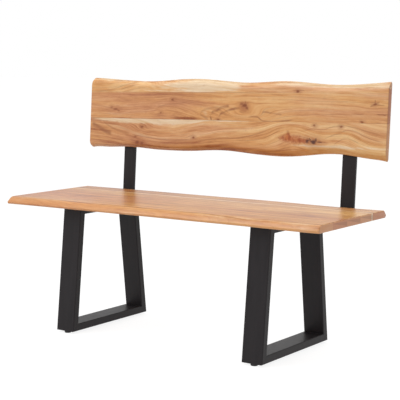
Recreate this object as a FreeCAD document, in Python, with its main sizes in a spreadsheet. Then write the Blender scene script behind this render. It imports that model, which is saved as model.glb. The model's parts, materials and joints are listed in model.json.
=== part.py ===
import FreeCAD, Part
import os

import Sketcher

# A bench: a seat and a backrest of live-edge planks on two welded frames of rectangular tube.
# Millimetres. X runs along the bench, Y to the back and Z up, with the floor at Z = 0.
# The origin lies on the floor, midway between the frames and midway between front and rear.

DRIVING_SIZES = (
    ("seat_height", 462, "seat top above the floor"),
    ("seat_length", 1250, "seat plank, end to end"),
    ("seat_depth", 432, "seat plank, front to rear over its live edges"),
    ("seat_thickness", 25, "seat plank"),
    ("seat_forward", 3, "seat centre ahead of the frame centre"),
    ("stave_width", 86, "each inner stave of the seat"),
    ("seat_wander", 8, "how far the seat's live edges wander"),
    ("front_left_inset", 18, "front edge, upper arris behind the widest line at the left end"),
    ("front_top_inset", 6, "front edge, upper arris behind the widest line at the right end"),
    ("front_undercut", 3, "front edge, lower arris behind the widest line"),
    ("rear_top_inset", 13, "rear edge, upper arris ahead of the widest line"),
    ("rear_undercut", 5, "rear edge, lower arris ahead of the widest line"),
    ("tube_width", 76.2, "frame tube, along the bench"),
    ("tube_depth", 25.4, "frame tube, in the plane of the frame"),
    ("tube_wall", 2, "frame tube wall"),
    ("tube_corner", 3, "frame tube outer corner radius"),
    ("frame_spacing", 770, "between the middles of the two frames"),
    ("frame_floor_depth", 411, "frame over its outer faces at the floor bar"),
    ("frame_seat_depth", 316, "frame over its outer faces at the seat"),
    ("foot_height", 8, "foot pad, from the floor to the floor bar"),
    ("foot_diameter", 24, "foot pad"),
    ("foot_bevel", 1.5, "foot pad, bevel of the lower rim"),
    ("foot_inset", 16, "foot axis from the outer end of the floor bar"),
    ("stud_diameter", 8, "threaded stud of a foot"),
    ("stud_reach", 20, "stud above its pad"),
    ("stud_seat", 3.5, "stud inside its pad"),
    ("nut_width", 13, "weld nut across the flats"),
    ("nut_height", 8, "weld nut"),
    ("thread_clearance", 0.05, "between a thread and its nut, insert or pad, on the radius"),
    ("bracket_width", 50.8, "flat bar of the back bracket"),
    ("bracket_thickness", 8, "flat bar of the back bracket"),
    ("bracket_spacing", 928, "between the middles of the two back brackets"),
    ("bracket_shift", 2.7, "the pair of back brackets to the right of the frame centre"),
    ("bracket_bend", 8, "inner radius of the bracket's bend"),
    ("bracket_end", 25, "bracket past its foremost bolt"),
    ("bracket_top_margin", 12, "bracket top below the backrest's mean upper edge"),
    ("back_gap", 32, "between the seat's rear edge and the bracket at seat height"),
    ("back_lean", 4.2, "degrees that the backrest leans back"),
    ("back_length", 1250, "backrest plank, end to end"),
    ("back_offset", 15, "backrest centre to the left of the frame centre"),
    ("back_rise", 155, "mean lower edge of the backrest above the seat, along the lean"),
    ("back_height", 249, "backrest plank, mean height along the lean"),
    ("back_thickness", 24, "backrest plank"),
    ("bottom_board_height", 110, "lowest board of the backrest, mean"),
    ("top_board_height", 41, "highest board of the backrest, mean"),
    ("glue_rise", 18, "glue lines of the backrest, from the left end up to the right"),
    ("top_wander", 6, "how far the backrest's upper edge wanders"),
    ("bottom_wander", 15, "how far the backrest's lower edge wanders"),
    ("top_bevel_left", 10, "front bevel of the upper edge at the left end"),
    ("top_bevel_right", 18, "front bevel of the upper edge at the right end"),
    ("bottom_bevel_left", 6, "front bevel of the lower edge at the left end"),
    ("bottom_bevel_right", 22, "front bevel of the lower edge at the right end"),
    ("back_ease", 4, "rear bevel of the backrest's live edges"),
    ("back_corner", 9, "rounded corners of the backrest's left end"),
    ("bolt_diameter", 6, "bolt shank"),
    ("bolt_head_diameter", 11, "button head"),
    ("bolt_head_height", 3.3, "button head"),
    ("socket_width", 4, "hexagon socket across the flats"),
    ("socket_depth", 2, "hexagon socket"),
    ("frame_bolt_length", 40, "bolt from the frame into the seat"),
    ("bracket_bolt_length", 20, "bolt from a bracket into a plank"),
    ("bolt_gauge", 44, "between the two bolts across a frame's top bar"),
    ("bolt_row_spacing", 60, "between the front and rear bolts of a frame's top bar"),
    ("bolt_hole_clearance", 0.5, "around a bolt or stud in steel, on the radius"),
    ("washer_diameter", 14, "washer"),
    ("washer_thickness", 1.6, "washer"),
    ("insert_diameter", 10, "threaded insert in wood"),
    ("insert_length", 13, "threaded insert in wood"),
    ("insert_clearance", 0.1, "around an insert in its hole, on the radius"),
    ("insert_hole_depth", 16, "hole for an insert"),
    ("cut_overrun", 1, "how far a cutting tool runs past a face"),
)

# Shares of the wander, chosen by hand at evenly spaced stations from the left end to the right.
# In the seat a positive share is outwards, in the backrest it is upwards.
seat_front_shares = (1.5, 0.7, 0.4, 0.1, -0.2, -0.1, -0.3, 0.0, -0.2)
seat_rear_shares = (0.0, 0.5, 0.8, 0.6, 0.6, 1.0, 0.2, -0.6, 0.5)
back_top_shares = (0.75, 0.25, -0.4, -0.9, -0.65, 0.4, 1.0, 0.7, -0.2,
                   -0.7, -0.05, 0.55, -0.05, -0.9, -0.95, -0.1, 1.05)
back_bottom_shares = (-0.85, -0.45, -0.2, -0.2, -0.45, -0.45, -0.3, 0.1, 0.25,
                      -0.05, -0.35, -0.35, 0.05, 0.7, 0.8, 0.27, -0.25)
# Widest line of a seat edge above the underside, as a share of the thickness.
front_widest_share = 0.22
rear_widest_share = 0.28
# Crest of a backrest edge ahead of the rear face, as a share of the thickness.
back_crest_share = 0.3
# Bolt in the top board above the glue line, and the crown of a button head.
top_bolt_share = 0.4
head_crown_share = 0.6

doc = FreeCAD.newDocument("LiveEdgeBench")
sheet = doc.addObject("Spreadsheet::Sheet", "Sizes")
for row, (alias, number, note) in enumerate(DRIVING_SIZES, start=1):
    sheet.set(f"A{row}", alias)
    sheet.set(f"B{row}", str(number))
    sheet.setAlias(f"B{row}", alias)
    sheet.set(f"C{row}", note)
doc.recompute()

X_AXIS = FreeCAD.Vector(1, 0, 0)
# Cosine above which two directions count as parallel, and how near two equal places lie.
PARALLEL = 1 - 1e-9
SAME_PLACE = 1e-6
SIDES = (("left", -1), ("right", 1))
ENDS = (("front", -1), ("rear", 1))
nodes = []

# Places that several pieces share, as expressions on the sheet.
# Y is measured from the middle of the frames until a finished piece is set at FRAME_Y.
SEAT_BOTTOM = "(Sizes.seat_height - Sizes.seat_thickness)"
BRACKET_Y = "(Sizes.seat_depth / 2 - Sizes.seat_forward + Sizes.back_gap)"
FOOT_Y = "(Sizes.frame_floor_depth / 2 - Sizes.foot_inset)"
LOWER_GLUE = "(Sizes.back_rise + Sizes.bottom_board_height)"
UPPER_GLUE = "(Sizes.back_rise + Sizes.back_height - Sizes.top_board_height)"
BRACKET_TOP = "(Sizes.back_rise + Sizes.back_height - Sizes.bracket_top_margin)"
BRACKET_X = {hand: f"({hand} * Sizes.bracket_spacing / 2 + Sizes.bracket_shift)" for side, hand in SIDES}
BACK_BOLT_HEIGHTS = (
    "Sizes.back_rise + Sizes.bottom_board_height / 2",
    f"({LOWER_GLUE} + {UPPER_GLUE}) / 2",
    f"{UPPER_GLUE} + Sizes.top_board_height * {top_bolt_share}",
)
LEAN = "(Sizes.back_lean * 1deg)"
BOLT_STAND = "(Sizes.bracket_thickness + Sizes.washer_thickness + Sizes.bolt_head_height)"
FRONT_REACH = f"(Sizes.seat_forward + Sizes.seat_depth / 2 + Sizes.seat_wander * {max(seat_front_shares)})"
REAR_REACH = f"({BRACKET_Y} + ({BACK_BOLT_HEIGHTS[2]}) * sin({LEAN}) + {BOLT_STAND} * cos({LEAN}))"
FRAME_Y = f"(({FRONT_REACH} - {REAR_REACH}) / 2)"


def measure(expression):
    """Number that an expression on the sheet stands for."""
    return float(sheet.evalExpression(expression))


def size(alias):
    """Number in a named cell of the sheet."""
    return measure(f"Sizes.{alias}")


def bind(feature, **expressions):
    """Bind properties of a feature to expressions on the sheet."""
    for name, expression in expressions.items():
        feature.setExpression(name, expression)
    return feature


def place(feature, across="0", back="0", up="0"):
    """Bind the place of a feature to expressions on the sheet."""
    feature.setExpression("Placement.Base.x", across)
    feature.setExpression("Placement.Base.y", back)
    feature.setExpression("Placement.Base.z", up)
    return feature


def lean_back(feature, back):
    """Set a piece drawn upright at its place on the leaning backrest."""
    feature.Placement = FreeCAD.Placement(FreeCAD.Vector(), FreeCAD.Rotation(-X_AXIS, 1))
    feature.setExpression("Placement.Rotation.Angle", "Sizes.back_lean")
    return place(feature, back=back, up="Sizes.seat_height")


def finish(feature, label):
    """Name a finished sub-part."""
    feature.Label = label
    nodes.append(feature)
    return feature


def cylinder(name, radius, height, up="0"):
    """Upright cylinder on the Z axis."""
    rod = doc.addObject("Part::Cylinder", name)
    bind(rod, Radius=radius, Height=height)
    return place(rod, up=up)


def hexagon(name, width, height, up="0"):
    """Upright hexagonal bar on the Z axis, given across its flats."""
    bar = doc.addObject("Part::Prism", name)
    bar.Polygon = 6
    bind(bar, Circumradius=f"{width} / sqrt(3)", Height=height)
    return place(bar, up=up)


def cut(name, base, tool):
    """One solid with another taken away."""
    result = doc.addObject("Part::Cut", name)
    result.Base = base
    result.Tool = tool
    return result


def copies(name, master, places, turned=False):
    """Group of copies of a master; turned copies point forwards instead of up."""
    links = []
    for across, back, up in places:
        link = doc.addObject("App::Link", f"{name}_copy")
        link.LinkedObject = master
        link.LinkTransform = True
        if turned:
            link.Placement = FreeCAD.Placement(FreeCAD.Vector(), FreeCAD.Rotation(X_AXIS, 90))
        place(link, across, back, up)
        links.append(link)
    group = doc.addObject("Part::Compound", name)
    group.Links = links
    return group


def outline(body, name, points):
    """Closed sketch of straight lines in the YZ plane, every corner bound to the sheet."""
    sketch = body.newObject("Sketcher::SketchObject", name)
    plane = next(item for item in body.Origin.OriginFeatures if item.Role == "YZ_Plane")
    sketch.AttachmentSupport = [(plane, "")]
    sketch.MapMode = "FlatFace"
    corners = [FreeCAD.Vector(measure(back), measure(up), 0) for back, up in points]
    count = len(corners)
    for k in range(count):
        sketch.addGeometry(Part.LineSegment(corners[k], corners[(k + 1) % count]), False)
    for k in range(count):
        sketch.addConstraint(Sketcher.Constraint("Coincident", k, 2, (k + 1) % count, 1))
    for k, (back, up) in enumerate(points):
        row = sketch.addConstraint(Sketcher.Constraint("DistanceX", -1, 1, k, 1, corners[k].x))
        sketch.setExpression(f"Constraints[{row}]", back)
        row = sketch.addConstraint(Sketcher.Constraint("DistanceY", -1, 1, k, 1, corners[k].y))
        sketch.setExpression(f"Constraints[{row}]", up)
    return sketch


def across_pad(body, points, width):
    """Pad of an outline, centred across the bench."""
    pad = body.newObject("PartDesign::Pad", "Pad")
    pad.Profile = outline(body, "Outline", points)
    pad.SideType = "Symmetric"
    bind(pad, Length=width)
    doc.recompute()
    return pad


def round_edges(body, base, wanted, radius):
    """Fillet the edges of a feature that a test picks out."""
    picked = [f"Edge{k}" for k, edge in enumerate(base.Shape.Edges, start=1) if wanted(edge)]
    fillet = body.newObject("PartDesign::Fillet", "Fillet")
    fillet.Base = (base, picked)
    bind(fillet, Radius=radius)
    doc.recompute()
    return fillet


# Frame tubes: mitred at the corners, so that each ends on the lines from outer to inner corner.
SPLAY = (f"((Sizes.frame_floor_depth - Sizes.frame_seat_depth) / 2"
         f" / ({SEAT_BOTTOM} - Sizes.foot_height))")
LEVEL_DEPTH = f"(Sizes.tube_depth * sqrt(1 + {SPLAY}^2))"
LEVEL_WALL = f"(Sizes.tube_wall * sqrt(1 + {SPLAY}^2))"
FLOOR_BAR_TOP = "(Sizes.foot_height + Sizes.tube_depth)"
TOP_BAR_BOTTOM = f"({SEAT_BOTTOM} - Sizes.tube_depth)"


def leg_outside(up):
    """Distance of a leg's outer face from the middle of the frame at a height."""
    return f"(Sizes.frame_floor_depth / 2 - {SPLAY} * ({up} - Sizes.foot_height))"


OUTER_LOW = ("Sizes.frame_floor_depth / 2", "Sizes.foot_height")
OUTER_HIGH = ("Sizes.frame_seat_depth / 2", SEAT_BOTTOM)
INNER_LOW = (f"({leg_outside(FLOOR_BAR_TOP)} - {LEVEL_DEPTH})", FLOOR_BAR_TOP)
INNER_HIGH = (f"({leg_outside(TOP_BAR_BOTTOM)} - {LEVEL_DEPTH})", TOP_BAR_BOTTOM)


def mirrored(point):
    """The same corner at the front of the frame."""
    return (f"-({point[0]})", point[1])


def level_bore(half, low, high):
    """Bore of a level tube between two heights."""
    return (mirrored((half, low)), (half, low), (half, high), mirrored((half, high)))


def tube(name, corners, bore):
    """Rectangular tube whose first side runs along it, with rounded long edges and a bore."""
    body = doc.addObject("PartDesign::Body", name)
    pad = across_pad(body, corners, "Sizes.tube_width")
    run_back = measure(corners[1][0]) - measure(corners[0][0])
    run_up = measure(corners[1][1]) - measure(corners[0][1])
    along = FreeCAD.Vector(0, run_back, run_up).normalize()
    fillet = round_edges(
        body, pad,
        lambda edge: abs(edge.tangentAt(edge.FirstParameter).dot(along)) > PARALLEL,
        "Sizes.tube_corner",
    )
    pocket = body.newObject("PartDesign::Pocket", "Bore")
    pocket.Profile = outline(body, "Bore_outline", bore)
    pocket.SideType = "Symmetric"
    bind(pocket, Length="Sizes.tube_width - 2 * Sizes.tube_wall")
    doc.recompute()
    if pocket.Shape.Volume >= fillet.Shape.Volume:
        raise RuntimeError(f"{name}: the bore took nothing away")
    return body


leg_bore = (
    (f"({leg_outside('Sizes.foot_height')} - {LEVEL_WALL})", "Sizes.foot_height"),
    (f"({leg_outside(SEAT_BOTTOM)} - {LEVEL_WALL})", SEAT_BOTTOM),
    (f"({leg_outside(SEAT_BOTTOM)} - {LEVEL_DEPTH} + {LEVEL_WALL})", SEAT_BOTTOM),
    (f"({leg_outside('Sizes.foot_height')} - {LEVEL_DEPTH} + {LEVEL_WALL})", "Sizes.foot_height"),
)
rear_corners = (OUTER_LOW, OUTER_HIGH, INNER_HIGH, INNER_LOW)
rear_leg = tube("Rear_leg", rear_corners, leg_bore)
front_leg = tube("Front_leg", [mirrored(p) for p in rear_corners], [mirrored(p) for p in leg_bore])
floor_tube = tube(
    "Floor_tube",
    (mirrored(OUTER_LOW), OUTER_LOW, INNER_LOW, mirrored(INNER_LOW)),
    level_bore(OUTER_LOW[0], "Sizes.foot_height + Sizes.tube_wall", f"{FLOOR_BAR_TOP} - Sizes.tube_wall"),
)
top_tube = tube(
    "Top_tube",
    (mirrored(OUTER_HIGH), OUTER_HIGH, INNER_HIGH, mirrored(INNER_HIGH)),
    level_bore(OUTER_HIGH[0], f"{TOP_BAR_BOTTOM} + Sizes.tube_wall", f"{SEAT_BOTTOM} - Sizes.tube_wall"),
)

# Holes in the bars: for the studs through the lower wall, for the bolts through both walls.
stud_hole = cylinder(
    "Stud_hole",
    "Sizes.stud_diameter / 2 + Sizes.bolt_hole_clearance",
    "Sizes.tube_wall + 2 * Sizes.cut_overrun",
    "Sizes.foot_height - Sizes.cut_overrun",
)
stud_holes = copies("Stud_holes", stud_hole, [("0", f"{sign} * {FOOT_Y}", "0") for end, sign in ENDS])
floor_bar = cut("Floor_bar", floor_tube, stud_holes)
BOLT_HOLE_RADIUS = "Sizes.bolt_diameter / 2 + Sizes.bolt_hole_clearance"
frame_hole = cylinder(
    "Frame_hole", BOLT_HOLE_RADIUS, "Sizes.tube_depth + 2 * Sizes.cut_overrun",
    f"{TOP_BAR_BOTTOM} - Sizes.cut_overrun",
)
frame_bolt_places = [
    (f"{across} * Sizes.bolt_gauge / 2", f"{row} * Sizes.bolt_row_spacing / 2")
    for across in (-1, 1) for row in (-1, 1)
]
frame_holes = copies("Frame_holes", frame_hole, [(x, y, "0") for x, y in frame_bolt_places])
top_bar = cut("Top_bar", top_tube, frame_holes)

for side, hand in SIDES:
    for name, master in (("front_leg", front_leg), ("rear_leg", rear_leg),
                         ("floor_bar", floor_bar), ("top_bar", top_bar)):
        where = [(f"{hand} * Sizes.frame_spacing / 2", FRAME_Y, "0")]
        finish(copies(f"{side}_{name}_set", master, where), f"{side}_{name}")

# Feet: a pad on a threaded stud, which screws into a weld nut inside the floor bar.
pad_rim = doc.addObject("Part::Cone", "Pad_rim")
bind(pad_rim, Radius1="Sizes.foot_diameter / 2 - Sizes.foot_bevel",
     Radius2="Sizes.foot_diameter / 2", Height="Sizes.foot_bevel")
pad_disc = cylinder("Pad_disc", "Sizes.foot_diameter / 2",
                    "Sizes.foot_height - Sizes.foot_bevel", "Sizes.foot_bevel")
pad_blank = doc.addObject("Part::Fuse", "Pad_blank")
pad_blank.Base = pad_rim
pad_blank.Tool = pad_disc
THREAD_BORE = "Sizes.stud_diameter / 2 + Sizes.thread_clearance"
pad_socket = cylinder("Pad_socket", THREAD_BORE, "Sizes.stud_seat + Sizes.cut_overrun",
                      "Sizes.foot_height - Sizes.stud_seat")
foot_pad = cut("Foot_pad", pad_blank, pad_socket)
foot_stud = cylinder("Foot_stud", "Sizes.stud_diameter / 2", "Sizes.stud_seat + Sizes.stud_reach",
                     "Sizes.foot_height - Sizes.stud_seat")
nut_blank = hexagon("Nut_blank", "Sizes.nut_width", "Sizes.nut_height",
                    "Sizes.foot_height + Sizes.tube_wall")
nut_bore = cylinder("Nut_bore", THREAD_BORE, "Sizes.nut_height + 2 * Sizes.cut_overrun",
                    "Sizes.foot_height + Sizes.tube_wall - Sizes.cut_overrun")
foot_nut = cut("Foot_nut", nut_blank, nut_bore)
foot_places = []
for side, hand in SIDES:
    for end, sign in ENDS:
        where = (f"{hand} * Sizes.frame_spacing / 2", f"{FRAME_Y} + {sign} * {FOOT_Y}", "0")
        foot_places.append(where)
        finish(copies(f"{side}_{end}_pad_set", foot_pad, [where]), f"{side}_{end}_foot_pad")
        finish(copies(f"{side}_{end}_stud_set", foot_stud, [where]), f"{side}_{end}_foot_stud")
finish(copies("Foot_nut_set", foot_nut, foot_places), "foot_nuts")


def bolt(name, length):
    """Button-head bolt with a hexagon socket, its bearing face at zero and its shank upwards."""
    head = doc.addObject("Part::Cone", f"{name}_head")
    bind(head, Radius1=f"Sizes.bolt_head_diameter / 2 * {head_crown_share}",
         Radius2="Sizes.bolt_head_diameter / 2", Height="Sizes.bolt_head_height")
    place(head, up="-Sizes.bolt_head_height")
    blank = doc.addObject("Part::Fuse", f"{name}_blank")
    blank.Base = head
    blank.Tool = cylinder(f"{name}_shank", "Sizes.bolt_diameter / 2", length)
    socket = hexagon(f"{name}_socket", "Sizes.socket_width", "Sizes.socket_depth + Sizes.cut_overrun",
                     "-Sizes.bolt_head_height - Sizes.cut_overrun")
    return cut(name, blank, socket)


def ring(name, outer, inner, height):
    """Plain ring from zero upwards."""
    bore = cylinder(f"{name}_bore", inner, f"{height} + 2 * Sizes.cut_overrun", "-Sizes.cut_overrun")
    return cut(name, cylinder(f"{name}_blank", outer, height), bore)


frame_bolt = bolt("Frame_bolt", "Sizes.frame_bolt_length")
bracket_bolt = bolt("Bracket_bolt", "Sizes.bracket_bolt_length")
washer = ring("Washer", "Sizes.washer_diameter / 2", BOLT_HOLE_RADIUS, "Sizes.washer_thickness")
insert = ring("Insert", "Sizes.insert_diameter / 2",
              "Sizes.bolt_diameter / 2 + Sizes.thread_clearance", "Sizes.insert_length")
insert_hole = cylinder("Insert_hole", "Sizes.insert_diameter / 2 + Sizes.insert_clearance",
                       "Sizes.insert_hole_depth + Sizes.cut_overrun", "-Sizes.cut_overrun")

# Places of the bolts in the seat: two rows over each frame, one bolt per stave over a bracket.
seat_frame_places = [
    (f"{hand} * Sizes.frame_spacing / 2 + {x}", y) for side, hand in SIDES for x, y in frame_bolt_places
]
bracket_rows = [f"{row} * Sizes.stave_width - Sizes.seat_forward" for row in (0, 1, 2)]
seat_bracket_places = [(BRACKET_X[hand], y) for side, hand in SIDES for y in bracket_rows]
FRAME_WASHER_UP = f"{TOP_BAR_BOTTOM} - Sizes.washer_thickness"
BRACKET_BOTTOM = f"({SEAT_BOTTOM} - Sizes.bracket_thickness)"
BRACKET_WASHER_UP = f"{BRACKET_BOTTOM} - Sizes.washer_thickness"


def seat_group(name, label, master, places, up):
    """Group of fasteners under the seat at one height."""
    group = copies(name, master, [(x, y, up) for x, y in places])
    return finish(place(group, back=FRAME_Y), label)


seat_group("Frame_bolt_set", "frame_bolts", frame_bolt, seat_frame_places, FRAME_WASHER_UP)
seat_group("Frame_washer_set", "frame_washers", washer, seat_frame_places, FRAME_WASHER_UP)
seat_group("Bracket_bolt_set", "bracket_bolts", bracket_bolt, seat_bracket_places, BRACKET_WASHER_UP)
seat_group("Bracket_washer_set", "bracket_washers", washer, seat_bracket_places, BRACKET_WASHER_UP)
seat_insert_places = seat_frame_places + seat_bracket_places
seat_group("Seat_insert_set", "seat_inserts", insert, seat_insert_places, SEAT_BOTTOM)
seat_insert_holes = copies("Seat_insert_holes", insert_hole,
                           [(x, y, SEAT_BOTTOM) for x, y in seat_insert_places])

# Fasteners of the backrest, drawn upright: the bracket's front face is at Y = 0 and Z starts at the seat.
back_places = [(BRACKET_X[hand], up) for side, hand in SIDES for up in BACK_BOLT_HEIGHTS]
LEAN_Y = f"{FRAME_Y} + {BRACKET_Y}"


def back_group(name, label, master, back):
    """Group of fasteners in the backrest, pointing forwards."""
    group = copies(name, master, [(x, back, up) for x, up in back_places], turned=True)
    return finish(lean_back(group, LEAN_Y), label)


BACK_BEARING = "Sizes.bracket_thickness + Sizes.washer_thickness"
back_group("Back_bolt_set", "back_bolts", bracket_bolt, BACK_BEARING)
back_group("Back_washer_set", "back_washers", washer, BACK_BEARING)
back_group("Back_insert_set", "back_inserts", insert, "0")
back_insert_holes = copies("Back_insert_holes", insert_hole,
                           [(x, "0", up) for x, up in back_places], turned=True)

# Back brackets: flat bar bent under the seat, leaning back above it, drilled for its bolts.
LEG_FRONT = "-Sizes.seat_forward - Sizes.bracket_end"
INNER_BEND = (f"({BRACKET_Y} - Sizes.seat_thickness * tan({LEAN}))", SEAT_BOTTOM)
OUTER_BEND = (
    f"({BRACKET_Y} + Sizes.bracket_thickness / cos({LEAN})"
    f" - (Sizes.seat_thickness + Sizes.bracket_thickness) * tan({LEAN}))",
    BRACKET_BOTTOM,
)
UPPER_FRONT = (f"({BRACKET_Y} + {BRACKET_TOP} * sin({LEAN}))",
               f"(Sizes.seat_height + {BRACKET_TOP} * cos({LEAN}))")
UPPER_REAR = (f"({UPPER_FRONT[0]} + Sizes.bracket_thickness * cos({LEAN}))",
              f"({UPPER_FRONT[1]} - Sizes.bracket_thickness * sin({LEAN}))")
bracket_body = doc.addObject("PartDesign::Body", "Bracket_body")
bracket_pad = across_pad(
    bracket_body,
    ((LEG_FRONT, SEAT_BOTTOM), INNER_BEND, UPPER_FRONT, UPPER_REAR, OUTER_BEND, (LEG_FRONT, BRACKET_BOTTOM)),
    "Sizes.bracket_width",
)


def lies_across_at(point):
    """Test for an edge that runs across the bench through a corner of an outline."""
    corner = FreeCAD.Vector(0, measure(point[0]), measure(point[1]))
    return lambda edge: edge.CenterOfMass.isEqual(corner, SAME_PLACE)


inner_fillet = round_edges(bracket_body, bracket_pad, lies_across_at(INNER_BEND), "Sizes.bracket_bend")
round_edges(bracket_body, inner_fillet, lies_across_at(OUTER_BEND),
            "Sizes.bracket_bend + Sizes.bracket_thickness")
bracket_hole = cylinder("Bracket_hole", BOLT_HOLE_RADIUS,
                        "Sizes.bracket_thickness + 2 * Sizes.cut_overrun", "-Sizes.cut_overrun")
leg_holes = copies("Leg_holes", bracket_hole, [("0", y, BRACKET_BOTTOM) for y in bracket_rows])
upright_holes = copies("Upright_holes", bracket_hole,
                       [("0", "Sizes.bracket_thickness", up) for up in BACK_BOLT_HEIGHTS], turned=True)
lean_back(upright_holes, BRACKET_Y)
bracket_holes = doc.addObject("Part::Compound", "Bracket_holes")
bracket_holes.Links = [leg_holes, upright_holes]
bracket = cut("Bracket", bracket_body, bracket_holes)
for side, hand in SIDES:
    where = [(BRACKET_X[hand], FRAME_Y, "0")]
    finish(copies(f"{side}_bracket_set", bracket, where), f"{side}_back_bracket")


def lofted_board(name, length, sections):
    """Board as a smooth skin over cross-sections at even stations along it."""
    spans = len(sections) - 1
    wires = []
    for k, section in enumerate(sections):
        across = length * (k / spans - 0.5)
        corners = [FreeCAD.Vector(across, back, up) for back, up in section]
        wires.append(Part.makePolygon(corners + corners[:1]))
    board = doc.addObject("Part::Feature", name)
    board.Shape = Part.makeLoft(wires, True, False)
    return board


# Seat staves: plain inner ones, and a live-edge one in front and behind.
low = measure(SEAT_BOTTOM)
high = size("seat_height")


def between(left, right, k, spans):
    """Size that changes evenly from the left end of a board to the right."""
    return left + (right - left) * k / spans


def seat_edge(name, sign, shares, widest_share, left_inset, right_inset, undercut):
    """Live-edge stave of the seat; the sign is -1 in front and 1 behind."""
    spans = len(shares) - 1
    glue = sign * size("stave_width") * 3 / 2 - size("seat_forward")
    widest_up = low + widest_share * size("seat_thickness")
    sections = []
    for k, share in enumerate(shares):
        top_inset = between(left_inset, right_inset, k, spans)
        reach = size("seat_depth") / 2 + share * size("seat_wander")
        edge = sign * reach - size("seat_forward")
        sections.append((
            (glue, low),
            (glue, high),
            (edge - sign * top_inset, high),
            (edge, widest_up),
            (edge - sign * undercut, low),
        ))
    return lofted_board(name, size("seat_length"), sections)


front_stave = seat_edge("Front_stave", -1, seat_front_shares, front_widest_share,
                        size("front_left_inset"), size("front_top_inset"), size("front_undercut"))
rear_stave = seat_edge("Rear_stave", 1, seat_rear_shares, rear_widest_share,
                       size("rear_top_inset"), size("rear_top_inset"), size("rear_undercut"))
staves = [("seat_front_stave", front_stave)]
for row, label in enumerate(("seat_front_inner_stave", "seat_centre_stave", "seat_rear_inner_stave")):
    stave = doc.addObject("Part::Box", f"Stave_{row}")
    bind(stave, Length="Sizes.seat_length", Width="Sizes.stave_width", Height="Sizes.seat_thickness")
    front = f"({row} - 3 / 2) * Sizes.stave_width - Sizes.seat_forward"
    place(stave, "-Sizes.seat_length / 2", front, SEAT_BOTTOM)
    staves.append((label, stave))
staves.append(("seat_rear_stave", rear_stave))
for label, stave in staves:
    drilled = cut(f"{stave.Name}_drilled", stave, seat_insert_holes)
    finish(place(drilled, back=FRAME_Y), label)

# Backrest boards, drawn upright with the rear face at Y = 0 and Z starting at the seat.
thick = size("back_thickness")
lower_glue = measure(LOWER_GLUE)
upper_glue = measure(UPPER_GLUE)
lower_edge = size("back_rise")
upper_edge = lower_edge + size("back_height")
ease = size("back_ease")


def seam_at(glue, k, spans):
    """Height of a glue line at a station of the backrest."""
    half_rise = size("glue_rise") / 2
    return between(glue - half_rise, glue + half_rise, k, spans)


def back_edge(name, sign, shares, glue, edge, wander, bevel_left, bevel_right):
    """Live-edge board of the backrest; the sign is 1 above and -1 below."""
    spans = len(shares) - 1
    sections = []
    for k, share in enumerate(shares):
        seam = seam_at(glue, k, spans)
        crest = edge + share * wander
        bevel = between(bevel_left, bevel_right, k, spans)
        sections.append((
            (-thick, seam),
            (-thick, crest - sign * bevel),
            (-thick * back_crest_share, crest),
            (0, crest - sign * ease),
            (0, seam),
        ))
    return lofted_board(name, size("back_length"), sections)


def corner_tool(name, sign, edge):
    """What is taken off the left end to round the corner at an edge."""
    radius = "Sizes.back_corner"
    block = doc.addObject("Part::Box", f"{name}_block")
    bind(block, Length=f"{radius} + Sizes.cut_overrun", Height=f"{radius} + Sizes.cut_overrun",
         Width="Sizes.back_thickness + 2 * Sizes.cut_overrun")
    start = f"{edge} - {radius}" if sign > 0 else f"{edge} - Sizes.cut_overrun"
    place(block, "-Sizes.back_length / 2 - Sizes.cut_overrun",
          "-Sizes.back_thickness - Sizes.cut_overrun", start)
    rod = doc.addObject("Part::Cylinder", f"{name}_rod")
    rod.Placement = FreeCAD.Placement(FreeCAD.Vector(), FreeCAD.Rotation(X_AXIS, 90))
    bind(rod, Radius=radius, Height="Sizes.back_thickness + 4 * Sizes.cut_overrun")
    place(rod, f"-Sizes.back_length / 2 + {radius}", "2 * Sizes.cut_overrun", f"{edge} - {sign} * {radius}")
    return cut(name, block, rod)


top_board = back_edge("Top_board", 1, back_top_shares, upper_glue, upper_edge, size("top_wander"),
                      size("top_bevel_left"), size("top_bevel_right"))
bottom_board = back_edge("Bottom_board", -1, back_bottom_shares, lower_glue, lower_edge,
                         size("bottom_wander"), size("bottom_bevel_left"), size("bottom_bevel_right"))
top_corner = corner_tool(
    "Top_corner", 1, f"(Sizes.back_rise + Sizes.back_height + Sizes.top_wander * {back_top_shares[0]})")
bottom_corner = corner_tool(
    "Bottom_corner", -1, f"(Sizes.back_rise + Sizes.bottom_wander * {back_bottom_shares[0]})")
middle_sections = []
for k in (0, 1):
    lower_seam = seam_at(lower_glue, k, 1)
    upper_seam = seam_at(upper_glue, k, 1)
    middle_sections.append(((-thick, lower_seam), (-thick, upper_seam), (0, upper_seam), (0, lower_seam)))
middle_board = lofted_board("Middle_board", size("back_length"), middle_sections)
boards = (
    ("back_top_board", cut("Top_rounded", top_board, top_corner)),
    ("back_middle_board", middle_board),
    ("back_bottom_board", cut("Bottom_rounded", bottom_board, bottom_corner)),
)
# The boards are drawn about their own middle, so the holes move by the offset of the plank.
offset_holes = copies("Offset_holes", back_insert_holes, [("Sizes.back_offset", "0", "0")])
for label, board in boards:
    drilled = cut(f"{board.Name}_drilled", board, offset_holes)
    lean_back(drilled, LEAN_Y)
    bind(drilled, **{"Placement.Base.x": "-Sizes.back_offset"})
    finish(drilled, label)

doc.recompute()

# Nothing is written unless every object is sound.
for item in doc.Objects:
    if "Invalid" in item.State or "Error" in item.State:
        raise RuntimeError(f"{item.Name} failed: {item.State}")
for node in nodes:
    if node.Shape.isNull() or not node.Shape.isValid() or not node.Shape.Solids:
        raise RuntimeError(f"{node.Label} has no sound solid")

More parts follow.
